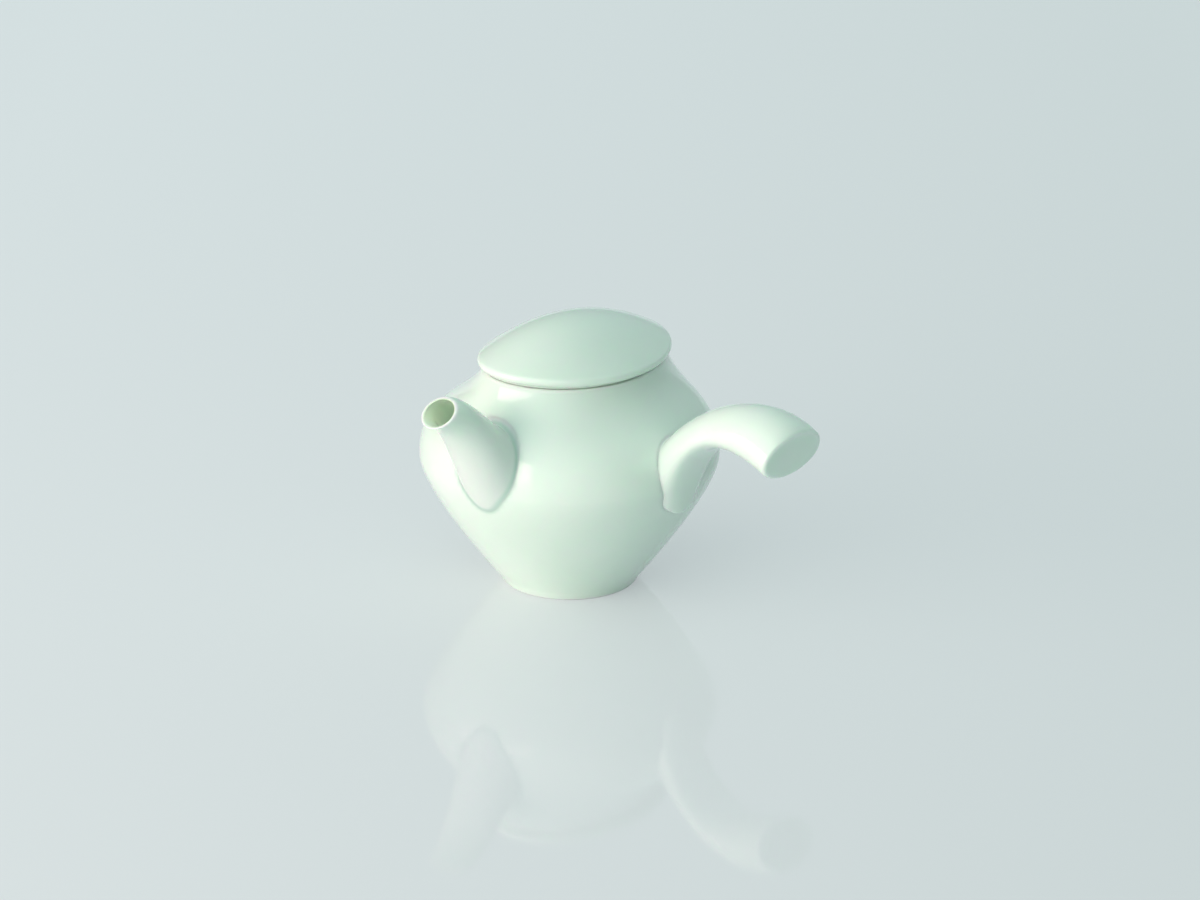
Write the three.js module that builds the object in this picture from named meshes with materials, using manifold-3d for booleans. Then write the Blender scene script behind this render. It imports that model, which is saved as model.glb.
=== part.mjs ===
// A side-handled ceramic teapot with a pale glaze, in millimetres, +Z up.
// The spout points along -X. The foot and belly are round, and the body turns oval towards the mouth,
// long along the spout line. The origin is at the foot's face, under the middle of the whole object.
import * as THREE from "three";
import { mergeVertices } from "three/addons/utils/BufferGeometryUtils.js";
import Module from "manifold-3d";

const wasm = await Module();
wasm.setup();

// Clearance between pieces that touch
const SEAT_GAP = 0.3;

// Foot
const FOOT_RADIUS = 24.7;
const FOOT_EDGE = 0.8;
const FOOT_HEIGHT = 3.8;
const FOOT_RING_WIDTH = 4.4;
const FOOT_RECESS = 2.2;

// Thrown body, outside
const BODY_START_RADIUS = 27.5;
const BELLY_RADIUS = 56;
const BELLY_LEVEL = 50.5;
const LOWER_RISE = 21;
const LOWER_FLARE = 16.8;
const BELLY_ROUNDING = 7.5;
const SHOULDER_ROUNDING = 19.6;
const SHOULDER_REACH = 6.3;
const SHOULDER_DROP = 15.6;

// Body, inside
const BODY_WALL = 3;
const FLOOR_THICKNESS = 4.2;
const FLOOR_CORNER = 6;

// Oval mouth: half lengths of its outer edge, its level at the sides, how far its middle lies off the pot's
// axis, a little towards the handle, and how much higher the ends of its long axis stand
const MOUTH_HALF_LENGTH = 40.8;
const MOUTH_HALF_WIDTH = 30.8;
const MOUTH_LEVEL = 86.3;
const MOUTH_SHIFT = [-0.5, -2.8];
const MOUTH_WARP = 1.7;

// Lid: its dome is the height of the top over the middle of the edge at the sides
const LID_HALF_LENGTH = 42.3;
const LID_HALF_WIDTH = 32.9;
const LID_EDGE_RADIUS = 1.8;
const LID_EDGE_LIFT = 1;
const LID_DOME = 14;
const LID_WALL = 3.4;
const LID_SEAT_INSET = 1;
const FLANGE_WALL = 2.6;
const FLANGE_DEPTH = 7;
const FLANGE_CHAMFER = 1;
const FLANGE_CLEARANCE = 1;

// Spout, drawn in its own upright plane: reach is the distance from the pot's axis
const SPOUT_AZIMUTH = 178.1;
const SPOUT_WALL = 1.6;
const SPOUT_LIP_WALL = 1.15;
const SPOUT_LIP_ROUNDING = 0.6;
const SPOUT_TOP_LINE = [[76.5, 93.3], [68.7, 92.2], [58.6, 80.7], [42, 70]];
const SPOUT_FOOT_LINE = [[87.6, 84.7], [69.3, 79.9], [62.3, 52.8], [53.8, 43.8]];
const SPOUT_HALF_WIDTHS = [6.7, 10.9, 10.9, 14.1];
const SPOUT_FLARE = 0.6;

// Handle, drawn the same way, from its closed end to the body; its plane passes a little to the side of
// the pot's axis
const HANDLE_AZIMUTH = -102.5;
const HANDLE_SIDE_OFFSET = 2.1;
const HANDLE_WALL = 3.2;
const HANDLE_END_WALL = 4;
const HANDLE_EDGE_ROUNDING = 1.5;
const HANDLE_TOP_LINE = [[112.5, 84.5], [108.4, 90.7], [77.1, 97.7], [50, 66.4]];
const HANDLE_FOOT_LINE = [[106, 66], [73.4, 80.1], [62, 67.1], [54.2, 38.4]];
const HANDLE_HALF_WIDTHS = [14.8, 13.5, 10.1, 11.9];
const HANDLE_FLARE = 0.4;

// The last part of each tube's run, where its flare opens, and how far a cut reaches past a face
const FLARE_SHARE = 0.25;
const CUT_THROUGH = 3;

// How far the spout and handle are drawn into the body before they are cut back to its skin
const ROOT_DEPTH = 9;

// Pour hole and pierced strainer dome behind the spout
const POUR_HOLE_HALF_WIDTH = 7;
const POUR_HOLE_HALF_HEIGHT = 9.5;
const STRAINER_LEVEL = 57;
const STRAINER_RADIUS = 13.5;
const STRAINER_WALL = 2;
const STRAINER_HOLE_RADIUS = 0.95;
const STRAINER_PITCH = 3.6;
const STRAINER_RINGS = 3;

// Facets round the body and round the tubes
const BODY_SIDES = 48;
const BODY_RINGS = 20;
const TUBE_SIDES = 24;
const TUBE_RINGS = 16;
const LID_RINGS = 7;
const EDGE_RINGS = 6;
const CORNER_RINGS = 4;
const HOLE_SIDES = 6;

// Steps of the search for the dome's fall
const FALL_STEPS = 8;

const GLAZE_COLOUR = 0xd4e5da;

function spread(count, from, to) {
  return Array.from({ length: count + 1 }, (_, i) => from + ((to - from) * i) / count);
}

// A ring of points from a function of the angle.
function ring(sides, at) {
  return Array.from({ length: sides }, (_, i) => at((2 * Math.PI * i) / sides));
}

function oval(halfLength, halfWidth, level, sides = BODY_SIDES) {
  return ring(sides, (a) => new THREE.Vector3(halfLength * Math.cos(a), halfWidth * Math.sin(a), level));
}

function centreOf(points) {
  const sum = points.reduce((s, p) => s.add(p), new THREE.Vector3());
  return sum.divideScalar(points.length);
}

// A closed skin through rings that turn the same way, with a flat fan at each end.
function loft(rings) {
  const sides = rings[0].length;
  const points = rings.flat();
  const faces = [];
  for (let k = 0; k + 1 < rings.length; k++) {
    for (let i = 0; i < sides; i++) {
      const a = k * sides + i;
      const b = k * sides + ((i + 1) % sides);
      faces.push(a, b, b + sides, a, b + sides, a + sides);
    }
  }
  const last = (rings.length - 1) * sides;
  const bottom = points.push(centreOf(rings[0])) - 1;
  const top = points.push(centreOf(rings[rings.length - 1])) - 1;
  for (let i = 0; i < sides; i++) {
    const j = (i + 1) % sides;
    faces.push(bottom, j, i, top, last + i, last + j);
  }
  const geometry = new THREE.BufferGeometry().setFromPoints(points);
  geometry.setIndex(faces);
  return geometry;
}

// From a three.js geometry to a solid that can be cut and joined, and back.
function solid(geometry) {
  const bare = geometry.clone();
  bare.deleteAttribute("normal");
  bare.deleteAttribute("uv");
  const welded = mergeVertices(bare, 1e-4);
  return new wasm.Manifold(
    new wasm.Mesh({
      numProp: 3,
      vertProperties: new Float32Array(welded.attributes.position.array),
      triVerts: new Uint32Array(welded.index.array),
    }),
  );
}

function geometryOf(piece) {
  const mesh = piece.getMesh();
  const geometry = new THREE.BufferGeometry();
  geometry.setAttribute("position", new THREE.BufferAttribute(mesh.vertProperties, 3));
  geometry.setIndex(new THREE.BufferAttribute(mesh.triVerts, 1));
  geometry.computeVertexNormals();
  return geometry;
}

const loftSolid = (rings) => solid(loft(rings));

// A cubic curve through the plane of reach and level.
const curve = (points) => new THREE.CubicBezierCurve(...points.map(([x, y]) => new THREE.Vector2(x, y)));

// Outside of the body: run 0 to 1 is the lower body, 1 to 2 the shoulder up to the mouth.
const lowerBody = curve([
  [BODY_START_RADIUS, FOOT_HEIGHT],
  [BODY_START_RADIUS + LOWER_FLARE, FOOT_HEIGHT + LOWER_RISE],
  [BELLY_RADIUS, BELLY_LEVEL - BELLY_ROUNDING],
  [BELLY_RADIUS, BELLY_LEVEL],
]);
const shoulderTo = (mouthHalf) =>
  curve([
    [BELLY_RADIUS, BELLY_LEVEL],
    [BELLY_RADIUS, BELLY_LEVEL + SHOULDER_ROUNDING],
    [mouthHalf + SHOULDER_REACH, MOUTH_LEVEL - SHOULDER_DROP],
    [mouthHalf, MOUTH_LEVEL],
  ]);
const longShoulder = shoulderTo(MOUTH_HALF_LENGTH);
const wideShoulder = shoulderTo(MOUTH_HALF_WIDTH);

// How much higher the warped mouth and lid stand at an angle than at the sides.
const mouthWarp = (angle) => MOUTH_WARP * Math.cos(angle) ** 2;

function skinPoint(run, angle) {
  const above = Math.max(0, run - 1);
  const long = above > 0 ? longShoulder.getPoint(above) : lowerBody.getPoint(run);
  const wide = above > 0 ? wideShoulder.getPoint(above) : long;
  const [shiftX, shiftY] = MOUTH_SHIFT.map((shift) => shift * above ** 2);
  return new THREE.Vector3(
    long.x * Math.cos(angle) + shiftX,
    wide.x * Math.sin(angle) + shiftY,
    long.y + mouthWarp(angle) * above ** 4,
  );
}

function skinNormal(run, angle) {
  const step = 1e-3;
  const up = skinPoint(Math.min(run + step, 2), angle).sub(skinPoint(Math.max(run - step, 0), angle));
  const along = skinPoint(run, angle + step).sub(skinPoint(run, angle - step));
  return along.cross(up).normalize();
}

// The body's skin moved along its own normal, outwards where the distance is positive.
const skinRing = (run, distance) =>
  ring(BODY_SIDES, (a) => skinPoint(run, a).addScaledVector(skinNormal(run, a), distance));

// Everything inside the body's outer skin grown by a gap: what the spout and handle are cut back to.
function bodyEnvelope(gap) {
  const foot = oval(FOOT_RADIUS, FOOT_RADIUS, 0);
  return loftSolid([foot, ...spread(BODY_RINGS, 0, 2).map((run) => skinRing(run, gap))]);
}

// The run at which the skin, moved by a distance, passes a level.
function runAtLevel(level, distance) {
  let low = 0;
  let high = 2;
  while (high - low > 1e-4) {
    const mid = (low + high) / 2;
    if (skinRing(mid, distance)[0].z < level) low = mid;
    else high = mid;
  }
  return high;
}

// The space for the tea, less a margin all round, with a rounded corner at the floor.
function teaSpace(margin) {
  const inset = BODY_WALL + margin;
  const floor = FOOT_RECESS + FLOOR_THICKNESS + margin;
  const start = runAtLevel(floor + FLOOR_CORNER, -inset);
  const walls = spread(BODY_RINGS, start, 2).map((run) => skinRing(run, -inset));
  const [wall, next] = walls.map((r) => r[0]);
  const slope = (next.x - wall.x) / (next.z - wall.z);
  const bend = new THREE.Vector2(wall.x - slope * (wall.z - floor), floor);
  const corner = new THREE.QuadraticBezierCurve(
    new THREE.Vector2(bend.x - FLOOR_CORNER, floor),
    bend,
    new THREE.Vector2(wall.x, wall.z),
  );
  const bowl = corner.getPoints(CORNER_RINGS).slice(0, -1).map((p) => oval(p.x, p.x, p.y));
  const above = walls[walls.length - 1].map((p) => p.clone().setZ(MOUTH_LEVEL + CUT_THROUGH));
  return loftSolid([...bowl, ...walls, above]);
}

function footRecess() {
  const radius = FOOT_RADIUS - FOOT_RING_WIDTH;
  const chamfer = FOOT_RECESS / 2;
  return loftSolid([
    oval(radius, radius, -FOOT_RECESS),
    oval(radius, radius, FOOT_RECESS - chamfer),
    oval(radius - chamfer, radius - chamfer, FOOT_RECESS),
  ]);
}

function potBody() {
  const foot = oval(FOOT_RADIUS, FOOT_RADIUS, 0);
  const aboveEdge = oval(FOOT_RADIUS + FOOT_EDGE, FOOT_RADIUS + FOOT_EDGE, FOOT_EDGE);
  const skin = spread(BODY_RINGS, 0, 2).map((run) => skinRing(run, 0));
  const outside = loftSolid([foot, aboveEdge, ...skin]);
  return outside.subtract(teaSpace(0)).subtract(footRecess()).subtract(pourHole());
}

// A luted tube: each of its rings is an oval between a top line and a foot line.
function tubeShape(topLine, footLine, halfWidths, flare, azimuth, side) {
  const top = curve(topLine);
  const foot = curve(footLine);
  const width = curve(halfWidths.map((w, i) => [i / 3, w]));
  const turn = new THREE.Matrix4().makeRotationZ(THREE.MathUtils.degToRad(azimuth));
  return { top, foot, width, flare, turn, side };
}

const spoutShape = tubeShape(
  SPOUT_TOP_LINE,
  SPOUT_FOOT_LINE,
  SPOUT_HALF_WIDTHS,
  SPOUT_FLARE,
  SPOUT_AZIMUTH,
  0,
);
const handleShape = tubeShape(
  HANDLE_TOP_LINE,
  HANDLE_FOOT_LINE,
  HANDLE_HALF_WIDTHS,
  HANDLE_FLARE,
  HANDLE_AZIMUTH,
  HANDLE_SIDE_OFFSET,
);

// The ring at a run from 0, the free end, to 1 at the body, grown by a distance.
// Its flare opens near the body.
function tubeRing(shape, run, grow) {
  const top = shape.top.getPoint(run);
  const foot = shape.foot.getPoint(run);
  const middle = top.clone().add(foot).divideScalar(2);
  const across = top.clone().sub(foot).normalize();
  const extra = grow + shape.flare * Math.max(0, 1 - (1 - run) / FLARE_SHARE) ** 2;
  const half = top.distanceTo(foot) / 2 + extra;
  const halfWidth = shape.width.getPoint(run).y + extra;
  return ring(TUBE_SIDES, (a) => {
    const inPlane = middle.clone().addScaledVector(across, half * Math.cos(a));
    const aside = shape.side - halfWidth * Math.sin(a);
    return new THREE.Vector3(inPlane.x, aside, inPlane.y).applyMatrix4(shape.turn);
  });
}

// The last ring carried on into the body.
function rootRing(shape, grow) {
  const inwards = new THREE.Vector3(-ROOT_DEPTH, 0, 0).applyMatrix4(shape.turn);
  return tubeRing(shape, 1, grow).map((p) => p.add(inwards));
}

// The free end's ring moved out of its own plane by a height.
function endRing(shape, grow, height) {
  const rise = shape.top.getPoint(0).sub(shape.foot.getPoint(0)).normalize();
  const normal = new THREE.Vector3(rise.y, 0, -rise.x).applyMatrix4(shape.turn);
  return tubeRing(shape, 0, grow).map((p) => p.addScaledVector(normal, height));
}

// The free end's rounding, from its face to the full section, on the tube's own first sections.
function roundedEnd(shape, radius) {
  const share = radius / shape.foot.getLength();
  return [90, 45, 0].map((degrees) => {
    const turn = THREE.MathUtils.degToRad(degrees);
    return tubeRing(shape, share * (1 - Math.sin(turn)), radius * (Math.cos(turn) - 1));
  });
}

function tubeSolid(shape, grow, runs, endRings) {
  const rings = runs.map((run) => tubeRing(shape, run, grow));
  return loftSolid([...endRings, ...rings, rootRing(shape, grow)].reverse());
}

const runsPastEnd = spread(TUBE_RINGS, 0, 1).slice(1);

function spout() {
  const outside = tubeSolid(spoutShape, 0, runsPastEnd, roundedEnd(spoutShape, SPOUT_LIP_ROUNDING));
  const mouth = [CUT_THROUGH, 0].map((height) => endRing(spoutShape, -SPOUT_LIP_WALL, height));
  const bore = tubeSolid(spoutShape, -SPOUT_WALL, runsPastEnd, mouth);
  return outside.subtract(bore).subtract(bodyEnvelope(SEAT_GAP));
}

function handle() {
  const outside = tubeSolid(handleShape, 0, runsPastEnd, roundedEnd(handleShape, HANDLE_EDGE_ROUNDING));
  const start = HANDLE_END_WALL / handleShape.top.getLength();
  const hollow = tubeSolid(handleShape, -HANDLE_WALL, spread(TUBE_RINGS, start, 1), []);
  return outside.subtract(hollow).subtract(bodyEnvelope(SEAT_GAP));
}

// A place on the body behind the spout, with the directions out of the wall and across it.
function strainerPlace() {
  const azimuth = THREE.MathUtils.degToRad(SPOUT_AZIMUTH);
  const run = runAtLevel(STRAINER_LEVEL, 0);
  const out = skinNormal(run, azimuth);
  const centre = skinPoint(run, azimuth).addScaledVector(out, -BODY_WALL);
  const side = new THREE.Vector3(-Math.sin(azimuth), Math.cos(azimuth), 0);
  return { centre, out, side, up: out.clone().cross(side) };
}
const behindSpout = strainerPlace();

// A straight oval plug along a direction, from one distance to another.
function plug(start, direction, halfSide, halfUp, from, to, sides) {
  const side = new THREE.Vector3().crossVectors(new THREE.Vector3(0, 0, 1), direction).normalize();
  const up = direction.clone().cross(side);
  const at = (distance) =>
    ring(sides, (a) =>
      start
        .clone()
        .addScaledVector(direction, distance)
        .addScaledVector(side, halfSide * Math.cos(a))
        .addScaledVector(up, halfUp * Math.sin(a)),
    );
  return loftSolid([at(from), at(to)]);
}

function pourHole() {
  const { centre, out } = behindSpout;
  const past = BODY_WALL + CUT_THROUGH;
  return plug(centre, out, POUR_HOLE_HALF_WIDTH, POUR_HOLE_HALF_HEIGHT, -CUT_THROUGH, past, TUBE_SIDES);
}

// Directions of the strainer's holes: one in the middle and rings of six more each round it.
function strainerDirections() {
  const { out, side, up } = behindSpout;
  const directions = [out.clone().negate()];
  for (let k = 1; k <= STRAINER_RINGS; k++) {
    const lean = (k * STRAINER_PITCH) / STRAINER_RADIUS;
    for (let i = 0; i < 6 * k; i++) {
      const turn = (2 * Math.PI * i) / (6 * k);
      const across = side.clone().multiplyScalar(Math.cos(turn)).addScaledVector(up, Math.sin(turn));
      directions.push(
        out.clone().multiplyScalar(-Math.cos(lean)).addScaledVector(across, Math.sin(lean)),
      );
    }
  }
  return directions;
}

function strainer() {
  const { centre } = behindSpout;
  const ball = (radius) => {
    const geometry = new THREE.SphereGeometry(radius, TUBE_SIDES, TUBE_SIDES / 2);
    return solid(geometry.translate(centre.x, centre.y, centre.z));
  };
  const shell = ball(STRAINER_RADIUS).subtract(ball(STRAINER_RADIUS - STRAINER_WALL));
  const near = STRAINER_RADIUS - STRAINER_WALL - CUT_THROUGH;
  const far = STRAINER_RADIUS + CUT_THROUGH;
  const holes = strainerDirections().map((direction) =>
    plug(centre, direction, STRAINER_HOLE_RADIUS, STRAINER_HOLE_RADIUS, near, far, HOLE_SIDES),
  );
  return shell.intersect(teaSpace(SEAT_GAP)).subtract(wasm.Manifold.union(holes));
}

const lidSeatLevel = MOUTH_LEVEL + SEAT_GAP;
const lidEdgeLevel = lidSeatLevel + LID_EDGE_LIFT + LID_EDGE_RADIUS;
const domeLength = LID_HALF_LENGTH - LID_EDGE_RADIUS;
const domeWidth = LID_HALF_WIDTH - LID_EDGE_RADIUS;

// How far the dome falls from its top to its edge at an angle, and how steep it is there.
// The two belong together: the dome runs into its rounded edge without a corner.
function domeFall(angle) {
  const steepness = Math.hypot(Math.cos(angle) / domeLength, Math.sin(angle) / domeWidth);
  let lean = 0;
  let fall = LID_DOME;
  for (let i = 0; i < FALL_STEPS; i++) {
    fall = LID_DOME - mouthWarp(angle) - LID_EDGE_RADIUS / Math.cos(lean);
    lean = Math.atan(2 * fall * steepness);
  }
  return { fall, lean };
}

// A ring of the dome at a share of the way from its middle to its edge, lowered by a wall.
function domeRing(share, length, width, lowered) {
  const top = lidEdgeLevel + LID_DOME - lowered;
  return ring(BODY_SIDES, (a) => {
    const outwards = (share * length) / domeLength;
    const level = top - domeFall(a).fall * outwards ** 2;
    return new THREE.Vector3(length * share * Math.cos(a), width * share * Math.sin(a), level);
  });
}

// A ring of the rounded edge: part 0 is its underside, part 1 where the dome begins.
function edgeRing(part) {
  return ring(BODY_SIDES, (a) => {
    const turn = -Math.PI / 2 + (Math.PI - domeFall(a).lean) * part;
    const out = new THREE.Vector3(Math.cos(a) / domeLength, Math.sin(a) / domeWidth, 0).normalize();
    const level = lidEdgeLevel + mouthWarp(a) + LID_EDGE_RADIUS * Math.sin(turn);
    const middle = new THREE.Vector3(domeLength * Math.cos(a), domeWidth * Math.sin(a), level);
    return middle.addScaledVector(out, LID_EDGE_RADIUS * Math.cos(turn));
  });
}

// The inner edge of the lid's seat, which follows the mouth.
function seatRing() {
  const length = MOUTH_HALF_LENGTH - LID_SEAT_INSET;
  const width = MOUTH_HALF_WIDTH - LID_SEAT_INSET;
  return ring(BODY_SIDES, (a) => {
    return new THREE.Vector3(length * Math.cos(a), width * Math.sin(a), lidSeatLevel + mouthWarp(a));
  });
}

// Lid: dome, rounded edge, a seat on the mouth, and a flange that drops inside it.
function lid() {
  const edge = spread(EDGE_RINGS, 0, 1).map(edgeRing);
  const shares = spread(LID_RINGS, 1, 0.1);
  const dome = shares.slice(1).map((share) => domeRing(share, domeLength, domeWidth, 0));
  const disc = loftSolid([seatRing(), ...edge, ...dome]);
  const flangeLength = MOUTH_HALF_LENGTH - BODY_WALL - FLANGE_CLEARANCE;
  const flangeWidth = MOUTH_HALF_WIDTH - BODY_WALL - FLANGE_CLEARANCE;
  const flangeFoot = lidSeatLevel - FLANGE_DEPTH;
  const flange = loftSolid([
    oval(flangeLength - FLANGE_CHAMFER, flangeWidth - FLANGE_CHAMFER, flangeFoot),
    oval(flangeLength, flangeWidth, flangeFoot + FLANGE_CHAMFER),
    oval(flangeLength, flangeWidth, lidEdgeLevel),
  ]);
  const innerLength = flangeLength - FLANGE_WALL;
  const innerWidth = flangeWidth - FLANGE_WALL;
  const roof = shares.map((share) => domeRing(share, innerLength, innerWidth, LID_WALL));
  const hollow = loftSolid([oval(innerLength, innerWidth, flangeFoot - CUT_THROUGH), ...roof]);
  return disc.add(flange).subtract(hollow).translate([...MOUTH_SHIFT, 0]);
}

function named(name, piece, roughness) {
  const material = new THREE.MeshStandardMaterial({ color: GLAZE_COLOUR, roughness, metalness: 0 });
  const made = new THREE.Mesh(geometryOf(piece), material);
  made.name = name;
  return made;
}

const teapot = new THREE.Group();
teapot.add(named("pot_body", potBody(), 0.12));
teapot.add(named("spout", spout(), 0.12));
teapot.add(named("handle", handle(), 0.12));
teapot.add(named("strainer", strainer(), 0.2));
teapot.add(named("lid", lid(), 0.12));

// The origin goes under the middle of the whole object.
const bounds = new THREE.Box3().setFromObject(teapot);
const middle = bounds.getCenter(new THREE.Vector3());
teapot.position.set(-middle.x, -middle.y, -bounds.min.z);

export default teapot;
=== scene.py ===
"""A side-handled teapot with a pale green glaze: fine glazed skins, a glossy floor and soft light."""

import math

import bmesh
import bpy
import numpy as np
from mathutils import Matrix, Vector


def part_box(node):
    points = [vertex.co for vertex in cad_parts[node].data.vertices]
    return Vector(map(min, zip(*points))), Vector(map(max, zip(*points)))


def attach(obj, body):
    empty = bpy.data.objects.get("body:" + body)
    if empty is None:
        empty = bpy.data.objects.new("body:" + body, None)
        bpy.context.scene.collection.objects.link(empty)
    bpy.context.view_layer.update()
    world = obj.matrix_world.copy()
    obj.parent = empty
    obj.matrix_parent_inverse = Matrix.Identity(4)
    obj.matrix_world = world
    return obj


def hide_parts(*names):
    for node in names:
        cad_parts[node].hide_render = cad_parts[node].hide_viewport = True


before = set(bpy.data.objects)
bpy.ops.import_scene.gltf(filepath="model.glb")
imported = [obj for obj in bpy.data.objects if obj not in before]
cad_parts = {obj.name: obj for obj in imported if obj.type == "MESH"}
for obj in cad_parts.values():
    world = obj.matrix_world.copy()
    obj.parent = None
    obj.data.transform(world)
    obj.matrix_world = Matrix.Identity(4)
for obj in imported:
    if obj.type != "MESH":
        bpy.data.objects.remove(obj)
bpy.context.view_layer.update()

# Sizes in millimetres, in the pot's own frame: the pot's axis is the Z axis, and the spout points along -X.
# A tube's lines are (reach from the axis, level); soften is how far the corners of its root are rounded.
MM = 0.001
FOOT_RADIUS = 24.7
FOOT_EDGE = 0.8
FOOT_RING_WIDTH = 4.4
FOOT_RECESS = 2.2
BELLY_RADIUS = 56.0
BELLY_LEVEL = 50.5
BODY_WALL = 3.0
BODY_FLOOR = 6.4
FLOOR_CORNER = 6.0
MOUTH_HALF = (40.8, 30.8)
MOUTH_LEVEL = 86.3
MOUTH_SHIFT = np.array([-0.5, -2.8, 0.0])
MOUTH_WARP = 1.7
LOWER_LINE = [(27.5, 3.8), (44.3, 24.8), (56.0, 43.0), (56.0, 50.5)]
SHOULDER_LEVELS = [50.5, 70.1, 70.7, 86.3]
SHOULDER_REACH = 6.3

LID_HALF = (42.3, 32.9)
LID_EDGE_RADIUS = 1.8
LID_EDGE_LEVEL = 89.4
LID_TOP = 103.26
LID_SEAT = 86.6
LID_SEAT_HALF = (39.8, 29.8)
LID_WALL = 3.4
FLANGE_HALF = (36.8, 26.8)
FLANGE_WALL = 2.6
FLANGE_DEPTH = 7.0

SPOUT = {
    "azimuth": 178.1,
    "side": 0.0,
    "top": [(76.5, 93.3), (68.7, 92.2), (58.6, 80.7), (42, 70)],
    "foot": [(87.6, 84.7), (69.3, 79.9), (62.3, 52.8), (53.8, 43.8)],
    "widths": [6.7, 10.9, 10.9, 14.1],
    "flare": 0.6,
    "soften": 1,
}
SPOUT_WALL = 1.6
SPOUT_LIP_WALL = 1.1

HANDLE = {
    "azimuth": -102.5,
    "side": 2.1,
    "top": [(112.5, 84.5), (108.4, 90.7), (77.1, 97.7), (50, 66.4)],
    "foot": [(106, 66), (73.4, 80.1), (62.4, 66.4), (55.6, 40.1)],
    "widths": [14.8, 13.5, 11.8, 10.4],
    "flare": 0.55,
    "soften": 5,
}
HANDLE_EDGE = 1.5

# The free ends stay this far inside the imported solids' ends.
END_DROP = 0.12
# How far each tube's lines can go on straight into the body.
ROOT_DEPTH = 9.0
SPOUT_BORE_ROWS = 40
SPOUT_LIP_ROWS = 13

STRAINER_RUN_LEVEL = 57.0
STRAINER_RADIUS = 13.5
STRAINER_WALL = 2.0
STRAINER_HOLE_RADIUS = 0.95
STRAINER_PITCH = 3.6
STRAINER_RINGS = 3
POUR_HOLE_HALF = (7.0, 9.5)

BODY_SIDES = 192
TUBE_SIDES = 96

# Where the pot's axis stands in the row frame: the belly is the body's widest part on +X and +Y.
body_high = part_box("pot_body")[1]
AXIS = np.array([body_high.x / MM - BELLY_RADIUS, body_high.y / MM - BELLY_RADIUS, 0.0])


def bezier(points, t):
    p = np.array(points, float)
    t = np.asarray(t, float)[..., None] if p.ndim > 1 else np.asarray(t, float)
    u = 1 - t
    return u**3 * p[0] + 3 * u * u * t * p[1] + 3 * u * t * t * p[2] + t**3 * p[3]


def shoulder_half(mouth_half, t):
    return bezier([BELLY_RADIUS, BELLY_RADIUS, mouth_half + SHOULDER_REACH, mouth_half], t)


def skin_ovals(run):
    """Half length, half width and level of the body's skin: runs 0 to 1 are below the belly, 1 to 2 above."""
    run = np.asarray(run, float)
    low = bezier(LOWER_LINE, np.clip(run, 0, 1))
    t = np.clip(run - 1, 0, 1)
    long = np.where(run <= 1, low[..., 0], shoulder_half(MOUTH_HALF[0], t))
    wide = np.where(run <= 1, low[..., 0], shoulder_half(MOUTH_HALF[1], t))
    level = np.where(run <= 1, low[..., 1], bezier(SHOULDER_LEVELS, t))
    return long, wide, level


def skin_shift(run):
    """How far the middle of the skin's oval lies off the pot's axis: it moves over to the mouth's middle."""
    return MOUTH_SHIFT * (np.clip(np.asarray(run, float) - 1, 0, 1) ** 2)[..., None]


def mouth_warp(angle):
    """How much higher the warped mouth and lid stand at an angle than at the sides."""
    return MOUTH_WARP * np.cos(angle) ** 2


def skin_lift(run, angle):
    return mouth_warp(angle) * np.clip(run - 1, 0, 1) ** 4


def skin_point(run, angle):
    long, wide, level = skin_ovals(run)
    level = level + skin_lift(run, angle)
    place = np.broadcast_arrays(long * np.cos(angle), wide * np.sin(angle), level)
    return np.stack(place, -1) + skin_shift(run)


def unit(v):
    return v / np.linalg.norm(v, axis=-1, keepdims=True)


def skin_normal(run, angle, step=1e-3):
    up = skin_point(np.minimum(run + step, 2), angle) - skin_point(np.maximum(run - step, 0), angle)
    along = skin_point(run, angle + step) - skin_point(run, angle - step)
    return unit(np.cross(along, up))


TABLE_RUNS = np.linspace(0, 2, 2001)
TABLE_LEVELS = skin_ovals(TABLE_RUNS)[2]


def skin_place(p):
    """Run and angle of the skin at the level of p, in its direction, and the share by which p is outside."""
    lift = 0.0
    for _ in range(4):
        run = np.interp(p[..., 2] - lift, TABLE_LEVELS, TABLE_RUNS)
        long, wide, _ = skin_ovals(run)
        q = p - skin_shift(run)
        angle = np.arctan2(q[..., 1] / wide, q[..., 0] / long)
        lift = skin_lift(run, angle)
    return run, angle, np.hypot(q[..., 0] / long, q[..., 1] / wide) - 1


def inside_skin(p):
    """Below 0 inside the body's outer skin, above 0 outside."""
    return skin_place(p)[2]


def skin_near(p):
    """Run and angle of the skin point at the level of p, in its direction."""
    return skin_place(p)[:2]


def onto_skin(p):
    run, angle = skin_near(p)
    return skin_point(run, angle)


def oval(half_x, half_y, level, sides=BODY_SIDES):
    a = np.arange(sides) * 2 * math.pi / sides
    return np.stack([half_x * np.cos(a), half_y * np.sin(a), np.full(sides, float(level))], -1)


def between(a, corner, b, steps):
    """Rings on a smooth bend from a to b round a corner, without the first."""
    t = np.linspace(0, 1, steps + 1)[1:]
    return [(1 - u) ** 2 * a + 2 * u * (1 - u) * corner + u * u * b for u in t]


def lofted(name, rings):
    """A closed mesh through rings of points in the pot's frame."""
    sides = len(rings[0])
    points = [tuple((p + AXIS) * MM) for ring in rings for p in ring]
    faces = []
    for k in range(len(rings) - 1):
        for i in range(sides):
            a, b = k * sides + i, k * sides + (i + 1) % sides
            faces.append((a, b, b + sides, a + sides))
    last = (len(rings) - 1) * sides
    points.append(tuple((rings[0].mean(0) + AXIS) * MM))
    points.append(tuple((rings[-1].mean(0) + AXIS) * MM))
    start, end = len(points) - 2, len(points) - 1
    for i in range(sides):
        j = (i + 1) % sides
        faces.append((start, j, i))
        faces.append((end, last + i, last + j))
    return piece_of(name, points, faces)


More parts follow.
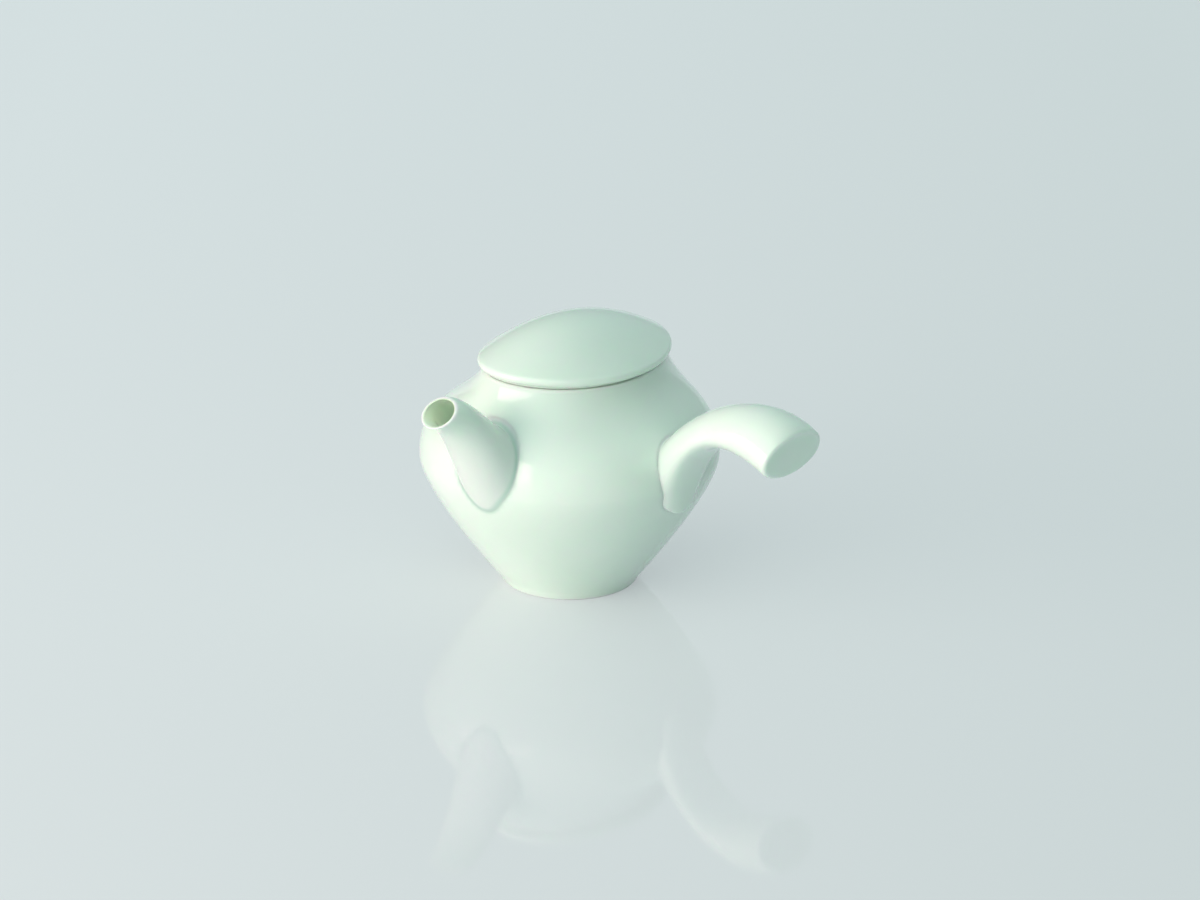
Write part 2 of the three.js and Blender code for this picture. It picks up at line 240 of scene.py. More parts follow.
def piece_of(name, points, faces):
    mesh = bpy.data.meshes.new(name)
    mesh.from_pydata(points, [], faces)
    bm = bmesh.new()
    bm.from_mesh(mesh)
    bmesh.ops.recalc_face_normals(bm, faces=bm.faces)
    bm.to_mesh(mesh)
    bm.free()
    mesh.update()
    made = bpy.data.objects.new(name, mesh)
    bpy.context.scene.collection.objects.link(made)
    return made


def cut(piece, tool):
    """piece without tool's space; the tool is deleted."""
    change = piece.modifiers.new("cut", "BOOLEAN")
    change.operation = "DIFFERENCE"
    change.solver = "EXACT"
    change.object = tool
    graph = bpy.context.evaluated_depsgraph_get()
    mesh = bpy.data.meshes.new_from_object(piece.evaluated_get(graph))
    piece.modifiers.clear()
    piece.data = mesh
    bpy.data.objects.remove(tool)


def smooth(piece, crease_degrees=40):
    piece.data.shade_smooth()
    piece.data.set_sharp_from_angle(angle=math.radians(crease_degrees))


def points_of(piece):
    """A mesh's points in the pot's frame, in millimetres."""
    co = np.zeros(len(piece.data.vertices) * 3)
    piece.data.vertices.foreach_get("co", co)
    return co.reshape(-1, 3) / MM - AXIS


def note(piece, name, values):
    kept = piece.data.attributes.new(name, "FLOAT", "POINT")
    kept.data.foreach_set("value", np.clip(values, 0, 1).astype(np.float32))


def fade(distance, near, far):
    """1 within near, 0 beyond far, smooth between."""
    t = np.clip((far - distance) / (far - near), 0, 1)
    return t * t * (3 - 2 * t)


# The body: underside, foot, outside, rim, inside and floor in one closed skin.


def body_rings():
    angles = np.arange(BODY_SIDES) * 2 * math.pi / BODY_SIDES

    def skin(run, distance=0.0):
        p = skin_point(np.full(BODY_SIDES, run), angles)
        return p + distance * skin_normal(np.full(BODY_SIDES, run), angles)

    recess = FOOT_RADIUS - FOOT_RING_WIDTH
    rings = [oval(r, r, FOOT_RECESS) for r in np.linspace(0.5, recess - 2, 8)]
    rings += between(rings[-1], oval(recess, recess, FOOT_RECESS), oval(recess, recess, 0.8), 6)
    rings += between(rings[-1], oval(recess, recess, 0), oval(recess + 0.8, recess + 0.8, 0), 4)
    edge = FOOT_RADIUS - 0.5
    corner = FOOT_RADIUS + 0.2
    above = FOOT_RADIUS + FOOT_EDGE
    rings += [oval(edge, edge, 0)]
    rings += between(rings[-1], oval(corner, corner, 0), oval(above, above, FOOT_EDGE), 8)
    rings += [rings[-1] * (1 - t) + skin(0.0) * t for t in (0.25, 0.5, 0.75)]
    rings += between(rings[-1], skin(0.0), skin(0.06), 8)
    rings += [skin(run) for run in np.linspace(0.06, 1.94, 96)[1:]]
    outer = skin(2.0)
    inner = skin(2.0, -BODY_WALL)
    inner_top = inner.copy()
    inner_top[:, 2] = outer[:, 2]
    lip = unit(inner_top - outer)
    width = np.linalg.norm(inner_top - outer, axis=1, keepdims=True)
    rings += [skin(run) for run in (1.955, 1.97)]
    rings += between(rings[-1], outer, outer + lip * 0.35 * width, 6)
    rings += [outer + lip * 0.6 * width]
    below = inner.copy()
    below[:, 2] += 0.6
    rings += between(rings[-1], inner_top, below, 6)
    rings += between(below, inner, skin(1.96, -BODY_WALL), 4)
    start = run_at_level(BODY_FLOOR + FLOOR_CORNER, -BODY_WALL)
    rings += [skin(run, -BODY_WALL) for run in np.linspace(1.96, start, 70)[1:]]
    wall = rings[-1]
    slope = rings[-2][0] - wall[0]
    reach = wall[0, 0] - slope[0] / slope[2] * (wall[0, 2] - BODY_FLOOR)
    flat = reach - FLOOR_CORNER
    rings += between(wall, oval(reach, reach, BODY_FLOOR), oval(flat, flat, BODY_FLOOR), 10)
    rings += [oval(r, r, BODY_FLOOR) for r in np.linspace(flat, 0.5, 9)[1:]]
    return rings


def run_at_level(level, distance):
    runs = np.linspace(0, 1, 2001)
    p = skin_point(runs, 0.0) + distance * skin_normal(runs, 0.0)
    return float(np.interp(level, p[:, 2], runs))


# Spout and handle: ovals between a top line and a foot line, with a fillet of glaze where they meet the body.


def turned(shape, reach, across, level):
    """Points from their reach along the shape's azimuth, their place across it, and their level."""
    a = math.radians(shape["azimuth"])
    return np.stack([
        reach * math.cos(a) - across * math.sin(a),
        reach * math.sin(a) + across * math.cos(a),
        level + 0 * reach,
    ], -1)


def tube_point(shape, run, angle, grow=0.0, height=0.0):
    """A point of the tube; beyond run 1 it goes on straight into the body."""
    run, angle = np.broadcast_arrays(np.asarray(run, float), angle)
    t = np.clip(run, 0, 1)
    top, foot = bezier(shape["top"], t), bezier(shape["foot"], t)
    middle, across = (top + foot) / 2, unit(top - foot)
    extra = grow + shape["flare"] * np.maximum(0, 4 * t - 3) ** 2
    half = np.linalg.norm(top - foot, axis=-1) / 2 + extra
    half_width = bezier(shape["widths"], t) + extra
    in_plane = middle + across * (half * np.cos(angle))[..., None]
    normal = np.stack([across[..., 1], -across[..., 0]], -1)
    in_plane = in_plane + normal * height
    reach = in_plane[..., 0] - ROOT_DEPTH * np.clip(run - 1, 0, 1)
    return turned(shape, reach, shape["side"] - half_width * np.sin(angle), in_plane[..., 1])


def foot_length(shape):
    line = bezier(shape["foot"], np.linspace(0, 1, 201))
    return float(np.sum(np.linalg.norm(np.diff(line, axis=0), axis=1)))


def rounded_end(shape, radius, turns):
    """Rings of a rounded edge at the free end: turn 90 degrees is on its face, turn 0 the full section."""
    angles = np.arange(TUBE_SIDES) * 2 * math.pi / TUBE_SIDES
    share = radius / foot_length(shape)
    return [
        tube_point(shape, share * (1 - math.sin(turn)), angles, radius * (math.cos(turn) - 1), -END_DROP)
        for turn in turns
    ]


def meeting_run(shape, angles, grow=0.0):
    """The run at which each line along the tube meets the body's skin."""
    runs = np.linspace(0.3, 2, 3401)
    grid = inside_skin(tube_point(shape, runs[:, None], angles[None, :], grow))
    first = np.argmax(grid < 0, axis=0)
    before, after = grid[first - 1, np.arange(len(angles))], grid[first, np.arange(len(angles))]
    share = before / (before - after)
    return runs[first - 1] + share * (runs[first] - runs[first - 1])


def softened(values, reach):
    """Values round a ring, each lowered to its neighbours' average, so that a corner in them is rounded."""
    steps = np.arange(-2 * reach, 2 * reach + 1)
    shares = np.exp(-((steps / reach) ** 2))
    average = sum(share * np.roll(values, k) for share, k in zip(shares / shares.sum(), steps))
    return np.minimum(values, average)


def run_before(shape, angles, meeting, distance):
    """The run at a distance before the meeting point, along each line of the tube."""
    steps = np.linspace(0, 0.6, 601)
    runs = np.maximum(meeting[None, :] - steps[:, None], 0)
    line = tube_point(shape, runs, angles[None, :])
    pieces = np.linalg.norm(np.diff(line, axis=0), axis=-1)
    length = np.concatenate([np.zeros((1, len(angles))), np.cumsum(pieces, axis=0)])
    return np.array([np.interp(distance[i], length[:, i], runs[:, i]) for i in range(len(angles))])


def outer_tube(shape, fillet, rows, first):
    """Rings from the free end to the body, the last one on the body's skin; also the line where they meet."""
    angles = np.arange(TUBE_SIDES) * 2 * math.pi / TUBE_SIDES
    meeting = softened(meeting_run(shape, angles), shape["soften"])
    joint = tube_point(shape, meeting, angles)
    size = fillet(angles)
    start = run_before(shape, angles, meeting, size)
    rings = [tube_point(shape, first + (start - first) * s, angles) for s in np.linspace(0, 1, rows)]
    along = np.roll(joint, -1, 0) - np.roll(joint, 1, 0)
    run, angle = skin_near(joint)
    away = unit(np.cross(along, skin_normal(run, angle)))
    middle = joint.mean(0)
    away *= np.sign(np.sum(away * (joint - middle), -1, keepdims=True))
    end = onto_skin(joint + away * size[:, None])
    run, angle = skin_near(end)
    normal = skin_normal(run, angle)
    corner = joint - normal * np.sum((joint - end) * normal, -1, keepdims=True)
    rings += between(rings[-1], corner, end, 10)
    sunk = end - normal * 0.8
    return rings, sunk, joint


def bore_rings(shape, wall, lip_wall, runs_from, rows):
    """Rings of the inner skin, from inside the body's wall to a run near the free end, where it is thinner."""
    angles = np.arange(TUBE_SIDES) * 2 * math.pi / TUBE_SIDES
    deep = meeting_run(shape, angles, -wall)
    last = tube_point(shape, deep, angles, -wall)
    run, angle = skin_near(last)
    last = last - skin_normal(run, angle) * 0.8
    rings = [last]
    for s in np.linspace(1, 0, rows):
        runs = runs_from + (deep - runs_from) * s
        rings.append(tube_point(shape, runs, angles, -wall + (wall - lip_wall) * fade(runs, 0.0, 0.2)))
    return rings


def spout_piece():
    lip = rounded_end(SPOUT, SPOUT_LIP_WALL / 2, np.linspace(math.pi, 0, SPOUT_LIP_ROWS))
    fillet = lambda a: 0.6 + 2.6 * np.clip(np.cos(a), 0, 1) ** 2
    outside, sunk, joint = outer_tube(SPOUT, fillet, 48, 0.025)
    bore = bore_rings(SPOUT, SPOUT_WALL, SPOUT_LIP_WALL, 0.03, SPOUT_BORE_ROWS)
    rings = [*bore, *lip, *outside, sunk]
    return tube_mesh("spout_glazed", rings), joint


def handle_piece():
    edge = rounded_end(HANDLE, HANDLE_EDGE, np.linspace(math.pi / 2, 0, 10))
    centre = edge[0].mean(0)
    face = [centre + (edge[0] - centre) * s for s in (0.05, 0.25, 0.45, 0.65, 0.82, 0.94)]
    fillet = lambda a: 0.4 + 0.8 * np.clip(np.cos(a), 0, 1) ** 2
    outside, sunk, joint = outer_tube(HANDLE, fillet, 64, 0.045)
    return lofted("handle_glazed", [*face, *edge, *outside, sunk]), joint


def tube_mesh(name, rings):
    """A closed tube: the first and last rings are joined to each other."""
    sides = len(rings[0])
    points = [tuple((p + AXIS) * MM) for ring in rings for p in ring]
    faces = []
    for k in range(len(rings)):
        n = (k + 1) % len(rings)
        for i in range(sides):
            j = (i + 1) % sides
            faces.append((k * sides + i, k * sides + j, n * sides + j, n * sides + i))
    return piece_of(name, points, faces)


# Lid: a low dome tangent to its rounded edge, a flat seat and a flange.


def lid_rings():
    angles = np.arange(BODY_SIDES) * 2 * math.pi / BODY_SIDES
    long, wide = LID_HALF[0] - LID_EDGE_RADIUS, LID_HALF[1] - LID_EDGE_RADIUS
    out = unit(np.stack([np.cos(angles) / long, np.sin(angles) / wide, 0 * angles], -1))
    slope = np.hypot(np.cos(angles) / long, np.sin(angles) / wide)
    warp = mouth_warp(angles)
    height = LID_TOP - LID_EDGE_LEVEL - warp - LID_EDGE_RADIUS
    for _ in range(8):
        lean = np.arctan(2 * height * slope)
        height = LID_TOP - LID_EDGE_LEVEL - warp - LID_EDGE_RADIUS / np.cos(lean)
    base = np.stack([long * np.cos(angles), wide * np.sin(angles), 0 * angles], -1)

    def dome(share, drop=0.0):
        p = base * share
        p[:, 2] = LID_TOP - height * share**2 - drop
        return p

    def edge(turn):
        p = base + out * (LID_EDGE_RADIUS * np.cos(turn))[:, None]
        p[:, 2] = LID_EDGE_LEVEL + warp + LID_EDGE_RADIUS * np.sin(turn)
        return p

    def warped(half, level):
        p = oval(*half, level)
        p[:, 2] += warp
        return p

    rings = [dome(s) for s in np.linspace(0.01, 1, 40)]
    rings += [edge(math.pi / 2 - lean - (math.pi - lean) * s) for s in np.linspace(0, 1, 20)]
    seat = warped(LID_SEAT_HALF, LID_SEAT)
    rings += [rings[-1] * 0.6 + seat * 0.4, seat]
    flange = warped(FLANGE_HALF, LID_SEAT)
    foot = oval(*FLANGE_HALF, LID_SEAT - FLANGE_DEPTH + 1.2)
    inset = oval(FLANGE_HALF[0] - FLANGE_WALL / 2, FLANGE_HALF[1] - FLANGE_WALL / 2, LID_SEAT - FLANGE_DEPTH)
    rings += between(seat, flange, warped(FLANGE_HALF, LID_SEAT - 1), 6)
    rings += [foot]
    corner = oval(*FLANGE_HALF, LID_SEAT - FLANGE_DEPTH)
    rings += between(foot, corner, inset, 6)
    inner_half = (FLANGE_HALF[0] - FLANGE_WALL, FLANGE_HALF[1] - FLANGE_WALL)
    inner = oval(*inner_half, LID_SEAT - FLANGE_DEPTH + 1.2)
    rings += between(inset, oval(*inner_half, LID_SEAT - FLANGE_DEPTH), inner, 6)
    share = inner_half[0] / long

    def under(s):
        p = oval(s * inner_half[0], s * inner_half[1], 0)
        p[:, 2] = LID_TOP - LID_WALL - height * (s * share) ** 2
        return p

    top = under(1.0)
    shoulder = top.copy()
    shoulder[:, 2] -= 2.5
    rings += [inner * 0.5 + shoulder * 0.5, shoulder]
    rings += between(shoulder, top, under(0.92), 6)
    rings += [under(s) for s in np.linspace(0.92, 0.01, 24)[1:]]
    return [ring + MOUTH_SHIFT for ring in rings]


# Strainer: a pierced dome on the inner wall behind the spout.


def strainer_place():
    run = float(np.interp(STRAINER_RUN_LEVEL, TABLE_LEVELS, TABLE_RUNS))
    azimuth = math.radians(SPOUT["azimuth"])
    out = skin_normal(run, azimuth)
    centre = skin_point(run, azimuth) - out * BODY_WALL
    side = np.array([-math.sin(azimuth), math.cos(azimuth), 0.0])
    return centre, out, side, np.cross(out, side)


def inner_gap(p):
    """Below 0 inside the tea space, measured with the skin moved in by the wall."""
    run, angle = skin_near(p)
    return np.sum((p - skin_point(run, angle)) * skin_normal(run, angle), -1) + BODY_WALL


def strainer_piece():
    centre, out, side, up = strainer_place()
    angles = np.arange(TUBE_SIDES) * 2 * math.pi / TUBE_SIDES
    across = side * np.cos(angles)[:, None] + up * np.sin(angles)[:, None]

    def cap(radius, lean):
        return centre + radius * (-out * np.cos(lean)[:, None] + across * np.sin(lean)[:, None])

    def last_lean(radius):
        leans = np.linspace(0.6, 2.0, 700)
        grid = np.array([inner_gap(cap(radius, np.full(TUBE_SIDES, x))) for x in leans])
        first = np.argmax(grid > -0.05, axis=0)
        return leans[first]

    inner_radius = STRAINER_RADIUS - STRAINER_WALL
    end_out, end_in = last_lean(STRAINER_RADIUS), last_lean(inner_radius)
    rings = [cap(inner_radius, end_in * s) for s in np.linspace(0.02, 1, 26)]
    rings += [cap(STRAINER_RADIUS, end_out * s) for s in np.linspace(1, 0.02, 30)]
    dome = lofted("strainer_glazed", rings)
    directions = [-out]
    for k in range(1, STRAINER_RINGS + 1):
        lean = k * STRAINER_PITCH / STRAINER_RADIUS
        for i in range(6 * k):
            turn = 2 * math.pi * i / (6 * k)
            around = side * math.cos(turn) + up * math.sin(turn)
            directions.append(-out * math.cos(lean) + around * math.sin(lean))
    cut(dome, plugs(centre, directions, STRAINER_HOLE_RADIUS, STRAINER_HOLE_RADIUS, 9.5, 15.5, 20))
    return dome


def plugs(start, directions, half_side, half_up, near, far, sides):
    """Straight oval plugs along the directions, as one object to cut with."""
    points, faces = [], []
    a = np.arange(sides) * 2 * math.pi / sides
    for d in directions:
        side = unit(np.cross([0, 0, 1.0], d))
        up = np.cross(d, side)
        section = side * (half_side * np.cos(a))[:, None] + up * (half_up * np.sin(a))[:, None]
        first = len(points)
        for distance in (near, far):
            points += [tuple((p + AXIS) * MM) for p in start + d * distance + section]
        for i in range(sides):
            j = (i + 1) % sides
            faces.append((first + i, first + j, first + sides + j, first + sides + i))
        faces.append(tuple(first + i for i in reversed(range(sides))))
        faces.append(tuple(first + sides + i for i in range(sides)))
    return piece_of("plugs", points, faces)


def body_piece():
    body = lofted("body_glazed", body_rings())
    centre, out, _, _ = strainer_place()
    cut(body, plugs(centre, [out], *POUR_HOLE_HALF, -BODY_WALL, 2 * BODY_WALL, 48))
    return body


# Glaze: thin and pale where the clay has an edge, deeper and greener where it gathers, spread wider at the
# joints as painted shade in the creases round the spout's root. The spout's bore is painted lighter and
# greener as painted light.
# Light comes through the spout's thin wall, so its bore has a greater depth of scattering.


def glaze(name, scale=1.0):
    made = bpy.data.materials.new(name)
    made.use_nodes = True
    tree = made.node_tree
    shader = tree.nodes["Principled BSDF"]

    def node(kind, **settings):
        n = tree.nodes.new(kind)
        for key, value in settings.items():
            setattr(n, key, value)
        return n

    def link(a, b):
        tree.links.new(a, b)

    place = node("ShaderNodeTexCoord")
    cloud = node("ShaderNodeTexNoise")
    cloud.inputs["Scale"].default_value = 26 * scale
    cloud.inputs["Detail"].default_value = 3
    link(place.outputs["Object"], cloud.inputs["Vector"])
    tint = node("ShaderNodeValToRGB")
    tint.color_ramp.elements[0].position = 0.3
    tint.color_ramp.elements[0].color = GLAZE_GREEN
    tint.color_ramp.elements[1].position = 0.7
    tint.color_ramp.elements[1].color = GLAZE_PALE
    link(cloud.outputs["Fac"], tint.inputs["Fac"])

    def tinted(colour, attribute, source):
        kept = node("ShaderNodeAttribute", attribute_name=attribute)
        mix = node("ShaderNodeMix", data_type="RGBA")
        mix.inputs["B"].default_value = colour
        link(kept.outputs["Fac"], mix.inputs["Factor"])
        link(source, mix.inputs["A"])
        return mix.outputs["Result"], kept.outputs["Fac"]

    # Pooled green at the joints: partly real glaze gathering, partly painted shade darkening the creases round
    # the spout's root.
    colour, _ = tinted(GLAZE_POOLED_AND_PAINTED_SHADE, "pool_and_painted_shade", tint.outputs["Color"])
    colour, _ = tinted(GLAZE_THIN, "thin", colour)
    # Painted light: the spout's bore is painted lighter and greener than the glaze outside, for light that
    # reaches it through the wall and by bounces.
    colour, inner = tinted(GLAZE_INSIDE_PAINTED_LIGHT, "inner", colour)
    colour, bare = tinted(BARE_CLAY, "bare", colour)
    link(colour, shader.inputs["Base Color"])

    fine = node("ShaderNodeTexNoise")
    fine.inputs["Scale"].default_value = 180 * scale
    fine.inputs["Detail"].default_value = 2
    link(place.outputs["Object"], fine.inputs["Vector"])
    gloss = node("ShaderNodeMapRange")
    gloss.inputs["To Min"].default_value = 0.07
    gloss.inputs["To Max"].default_value = 0.13
    link(fine.outputs["Fac"], gloss.inputs["Value"])
    rough = node("ShaderNodeMix", data_type="FLOAT")
    rough.inputs["B"].default_value = BARE_ROUGHNESS
    link(bare, rough.inputs["Factor"])
    link(gloss.outputs["Result"], rough.inputs["A"])
    link(rough.outputs["Result"], shader.inputs["Roughness"])
    bump = node("ShaderNodeBump")
    bump.inputs["Strength"].default_value = 0.05
    bump.inputs["Distance"].default_value = 0.0002
    link(fine.outputs["Fac"], bump.inputs["Height"])
    link(bump.outputs["Normal"], shader.inputs["Normal"])
    shader.inputs["IOR"].default_value = 1.5
    shader.inputs["Subsurface Weight"].default_value = 0.6
    shader.inputs["Subsurface Radius"].default_value = (0.6, 1.0, 0.7)
    depth = node("ShaderNodeMix", data_type="FLOAT")
    depth.inputs["A"].default_value = GLAZE_DEPTH
    depth.inputs["B"].default_value = THIN_WALL_DEPTH
    link(inner, depth.inputs["Factor"])
    link(depth.outputs["Result"], shader.inputs["Subsurface Scale"])
    return made


GLAZE_GREEN = (0.725, 0.845, 0.74, 1)
GLAZE_PALE = (0.765, 0.875, 0.775, 1)
# Colour of glaze pooled at the joints, also used as painted shade in the crease beside the spout.
GLAZE_POOLED_AND_PAINTED_SHADE = (0.36, 0.66, 0.50, 1)
GLAZE_THIN = (0.86, 0.90, 0.85, 1)
# Painted light: the bore's colour, lighter and greener than the glaze, standing in for light inside the spout.
GLAZE_INSIDE_PAINTED_LIGHT = (0.81, 1.0, 0.68, 1)
GLAZE_DEPTH = 0.003
THIN_WALL_DEPTH = 0.014
BARE_CLAY = (0.84, 0.82, 0.77, 1)
BARE_ROUGHNESS = 0.6


def finish_piece(piece, body, node, slot, pool_and_painted_shade, thin, bare=None, inner=None):
    smooth(piece)
    p = points_of(piece)
    note(piece, "pool_and_painted_shade", pool_and_painted_shade(p))
    note(piece, "thin", thin(p))
    note(piece, "bare", bare(p) if bare else np.zeros(len(p)))
    note(piece, "inner", inner(p) if inner else np.zeros(len(p)))
    piece.data.materials.clear()
    piece.data.materials.append(glaze(slot))
    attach(piece, body)
    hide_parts(node)


def nearest(p, line):
    """Distance of each point to a closed line of points."""
    return np.concatenate([
        np.min(np.linalg.norm(part[:, None] - line[None], axis=-1), axis=1)
        for part in np.array_split(p, max(1, len(p) // 4000))
    ])


spout, spout_joint = spout_piece()
handle, handle_joint = handle_piece()
body = body_piece()
strainer = strainer_piece()
lid = lofted("lid_glazed", lid_rings())


# Glaze pooled at the spout and handle joints, reaching out 2.2 mm round the spout as painted shade in the
# crease beside it.
def joint_pool_and_painted_shade(p):
    return 0.55 * fade(nearest(p, spout_joint), 0.2, 2.2) + 0.15 * fade(nearest(p, handle_joint), 0.2, 1.2)


def body_thin(p):
    foot = fade(np.abs(p[:, 2] - 0.3), 0.2, 0.8) * (np.hypot(p[:, 0], p[:, 1]) > FOOT_RADIUS - 2)
    mouth = fade(np.abs(p[:, 2] - MOUTH_LEVEL - mouth_warp(np.arctan2(p[:, 1], p[:, 0]))), 0.2, 1.2)
    return 0.7 * foot + 0.7 * mouth


def foot_ring(p):
    return (p[:, 2] < 0.05) * 1.0


def spout_thin(p):
    end = tube_point(SPOUT, 0.0, np.linspace(0, 2 * math.pi, 97)[:-1], -SPOUT_LIP_WALL / 2, 0.3)
    return 0.95 * fade(nearest(p, end), 0.7, 2.0)


# Mask for the bore's painted light and its deeper scattering.
def spout_inner(p):
    """1 on the bore: the first rows of the spout's mesh, up to the top of its lip."""
    bore_points = (1 + SPOUT_BORE_ROWS + SPOUT_LIP_ROWS // 2) * TUBE_SIDES
    return (np.arange(len(p)) < bore_points) * 1.0


def handle_thin(p):
    end = tube_point(HANDLE, 0.0, np.linspace(0, 2 * math.pi, 97)[:-1], -0.5, 0.9)
    along = unit(np.cross(end[24] - end[72], end[0] - end[48]))
    from_face = np.abs(np.sum((p - end[0]) * along, -1))
    return np.maximum(0.6 * fade(nearest(p, end), 0.6, 2.4), 0.2 * (1 - fade(from_face, 1.2, 2.4)))


def lid_thin(p):
    p = p - MOUTH_SHIFT
    around = np.hypot(p[:, 0] / LID_HALF[0], p[:, 1] / LID_HALF[1])
    return 0.1 * fade(1 - around, 0.005, 0.05)


def none(p):
    return np.zeros(len(p))


finish_piece(body, "pot", "pot_body", "pot_glaze", joint_pool_and_painted_shade, body_thin, foot_ring)
finish_piece(spout, "pot", "spout", "spout_glaze", joint_pool_and_painted_shade, spout_thin, inner=spout_inner)
finish_piece(handle, "pot", "handle", "handle_glaze", joint_pool_and_painted_shade, handle_thin)
finish_piece(strainer, "pot", "strainer", "strainer_glaze", none, none)
finish_piece(lid, "lid", "lid", "lid_glaze", none, lid_thin)

# Camera: the photograph's viewing angle, as a turn round the pot and a rise above the floor.
VIEW_AZIMUTH = -58.0
VIEW_ELEVATION = 20.0
VIEW_DISTANCE = 1.5
VIEW_TARGET = Vector((AXIS[0] * MM + 0.00595, AXIS[1] * MM - 0.009615, 0.0503))
turn, rise = math.radians(VIEW_AZIMUTH), math.radians(VIEW_ELEVATION)
toward = Vector((math.sin(turn), -math.cos(turn), 0))
right = Vector((math.cos(turn), math.sin(turn), 0))
back = toward * math.cos(rise) + Vector((0, 0, math.sin(rise)))

camera = bpy.data.objects.new("camera", bpy.data.cameras.new("camera"))
bpy.context.scene.collection.objects.link(camera)
camera.data.lens = 120.75
camera.data.sensor_width = 36
camera.data.clip_start = 0.05
camera.data.clip_end = 60
camera.location = VIEW_TARGET + back * VIEW_DISTANCE
camera.rotation_mode = "QUATERNION"
camera.rotation_quaternion = (-back).to_track_quat("-Z", "Y")
bpy.context.scene.camera = camera

# Floor: one wide glossy pale sheet.
floor_mesh = bpy.data.meshes.new("floor")
FLOOR_REACH = 8
floor_corners = [(x * FLOOR_REACH, y * FLOOR_REACH, 0) for x, y in ((-1, -1), (1, -1), (1, 1), (-1, 1))]
floor_mesh.from_pydata(floor_corners, [], [(0, 1, 2, 3)])
floor = bpy.data.objects.new("floor", floor_mesh)
bpy.context.scene.collection.objects.link(floor)
FLOOR_COLOUR = (0.80, 0.87, 0.89, 1)
FLOOR_SEEN_COLOUR = (0.38, 0.40, 0.395, 1)
FLOOR_GLOW_COLOUR = (0.955, 1.0, 1.04, 1)
FLOOR_GLOW = 0.336
# Painted light and shade on the floor: its glow is this share brighter on the left and darker on the right.
FLOOR_PAINTED_LIGHT_FALL = 0.13
FLOOR_PAINTED_LIGHT_REACH = 0.3


def floor_material():
    """A glossy pale floor; the camera and mirrors see most of its paleness as a glow of its own, painted
    brighter on the left and darker on the right as painted light and shade from the left.
    """
    made = bpy.data.materials.new("floor_look")
    made.use_nodes = True
    tree = made.node_tree
    lit = tree.nodes["Principled BSDF"]
    lit.inputs["Roughness"].default_value = 0.05
    lit.inputs["IOR"].default_value = 1.5
    rays = tree.nodes.new("ShaderNodeLightPath")

    def calculated(operation, first, second):
        step = tree.nodes.new("ShaderNodeMath")
        step.operation = operation
        tree.links.new(first, step.inputs[0])
        if isinstance(second, float):
            step.inputs[1].default_value = second
        else:
            tree.links.new(second, step.inputs[1])
        return step.outputs[0]

    seen = calculated("MAXIMUM", rays.outputs["Is Camera Ray"], rays.outputs["Is Glossy Ray"])
    seen = calculated("MAXIMUM", seen, rays.outputs["Is Transmission Ray"])
    colour = tree.nodes.new("ShaderNodeMix")
    colour.data_type = "RGBA"
    colour.inputs["A"].default_value = FLOOR_COLOUR
    colour.inputs["B"].default_value = FLOOR_SEEN_COLOUR
    tree.links.new(seen, colour.inputs["Factor"])
    tree.links.new(colour.outputs["Result"], lit.inputs["Base Color"])
    lit.inputs["Emission Color"].default_value = FLOOR_GLOW_COLOUR
    place = tree.nodes.new("ShaderNodeNewGeometry")
    across = tree.nodes.new("ShaderNodeVectorMath")
    across.operation = "DOT_PRODUCT"
    across.inputs[1].default_value = right
    tree.links.new(place.outputs["Position"], across.inputs[0])
    # Painted light: the glow falls from left to right across the view, as light from the left would.
    painted_light_fall = tree.nodes.new("ShaderNodeMapRange")
    painted_light_fall.inputs["From Min"].default_value = -FLOOR_PAINTED_LIGHT_REACH
    painted_light_fall.inputs["From Max"].default_value = FLOOR_PAINTED_LIGHT_REACH
    painted_light_fall.inputs["To Min"].default_value = FLOOR_GLOW * (1 + FLOOR_PAINTED_LIGHT_FALL)
    painted_light_fall.inputs["To Max"].default_value = FLOOR_GLOW * (1 - FLOOR_PAINTED_LIGHT_FALL)
    tree.links.new(across.outputs["Value"], painted_light_fall.inputs["Value"])
    tree.links.new(calculated("MULTIPLY", seen, painted_light_fall.outputs["Result"]), lit.inputs["Emission Strength"])
    return made


floor_look = floor_material()
floor_mesh.materials.append(floor_look)

# Light: one wide soft box from the front left, and a pale surround.


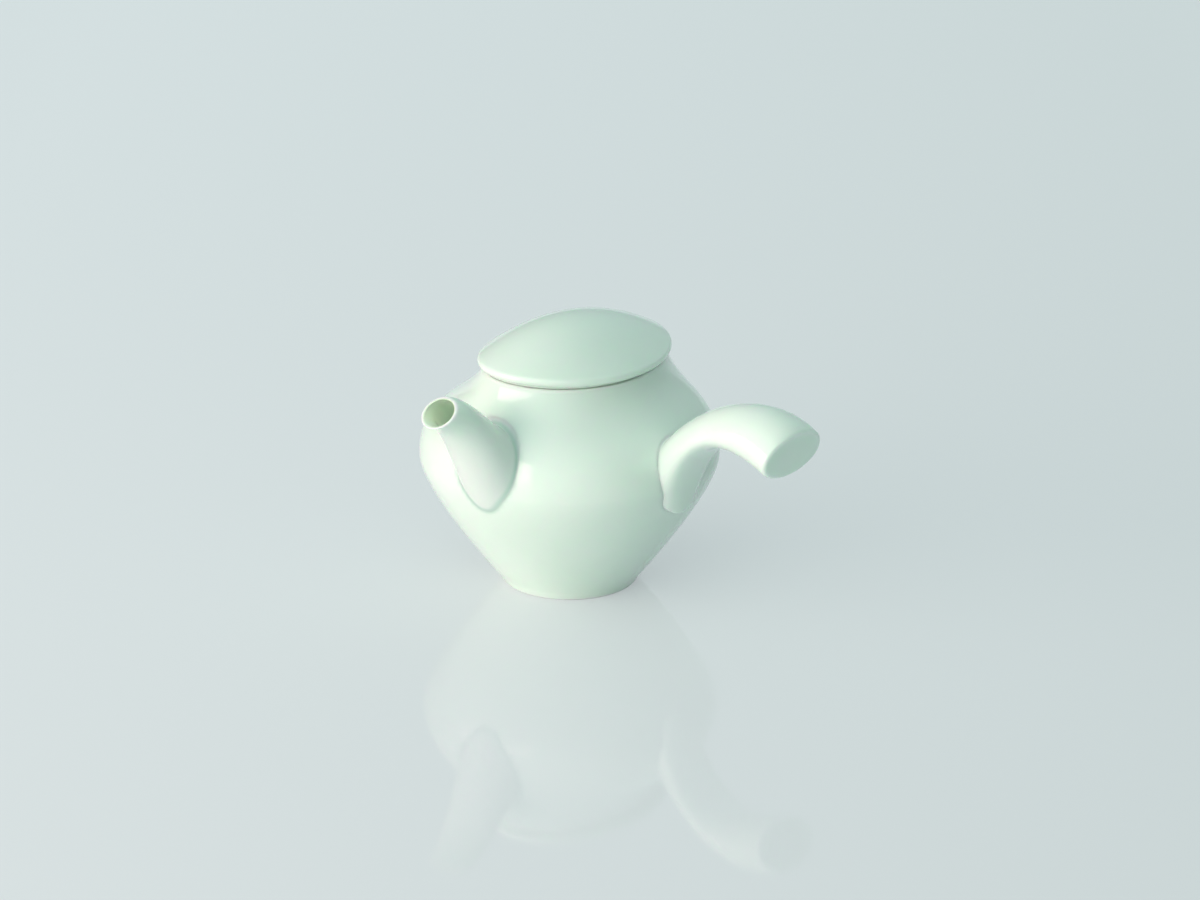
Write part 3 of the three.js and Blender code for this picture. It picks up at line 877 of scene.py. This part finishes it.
def soft_box(name, place, aim, size, power, colour=(1, 1, 1)):
    lamp = bpy.data.lights.new(name, "AREA")
    lamp.shape = "RECTANGLE"
    lamp.size, lamp.size_y = size
    lamp.energy = power
    lamp.color = colour
    made = bpy.data.objects.new(name, lamp)
    made.location = place
    made.rotation_mode = "QUATERNION"
    made.rotation_quaternion = (Vector(aim) - Vector(place)).to_track_quat("-Z", "Y")
    bpy.context.scene.collection.objects.link(made)
    return made


middle = Vector((AXIS[0] * MM, AXIS[1] * MM, 0.05))


def from_side(side, elevation):
    """A direction out from the pot: side 0 is towards the camera, 90 to its left, 180 behind the pot."""
    s, e = math.radians(side), math.radians(elevation)
    level = toward * math.cos(s) - right * math.sin(s)
    return level * math.cos(e) + Vector((0, 0, math.sin(e)))


soft_box("front_left_box", middle + from_side(59, 7) * 1.3, middle, (1.6, 0.7), 18.8, (1.0, 0.765, 0.72))

# The surround is a sum of wide soft lobes: side, elevation and strength of each.
SURROUND_COLOUR = (0.85, 1.03, 1.02, 1)
SURROUND_LOBES = [(30, 15, 1.28), (-150, 15, 0.5), (180, 15, 0.14), (0, 90, 0.62)]

world = bpy.data.worlds.new("surround")
world.use_nodes = True
surround = world.node_tree
shade = surround.nodes["Background"]
shade.inputs["Color"].default_value = SURROUND_COLOUR
direction = surround.nodes.new("ShaderNodeTexCoord")


def surround_math(operation, first, second):
    step = surround.nodes.new("ShaderNodeMath")
    step.operation = operation
    for socket, value in zip(step.inputs, (first, second)):
        if isinstance(value, (int, float)):
            socket.default_value = value
        else:
            surround.links.new(value, socket)
    return step.outputs[0]


strength = None
for side, elevation, power in SURROUND_LOBES:
    facing = surround.nodes.new("ShaderNodeVectorMath")
    facing.operation = "DOT_PRODUCT"
    facing.inputs[1].default_value = from_side(side, elevation)
    surround.links.new(direction.outputs["Generated"], facing.inputs[0])
    lobe = surround_math("MAXIMUM", facing.outputs["Value"], 0.0)
    lobe = surround_math("MULTIPLY", surround_math("POWER", lobe, 2.0), power)
    strength = lobe if strength is None else surround_math("ADD", strength, lobe)
surround.links.new(strength, shade.inputs["Strength"])
bpy.context.scene.world = world
bpy.context.scene.view_settings.view_transform = "Standard"
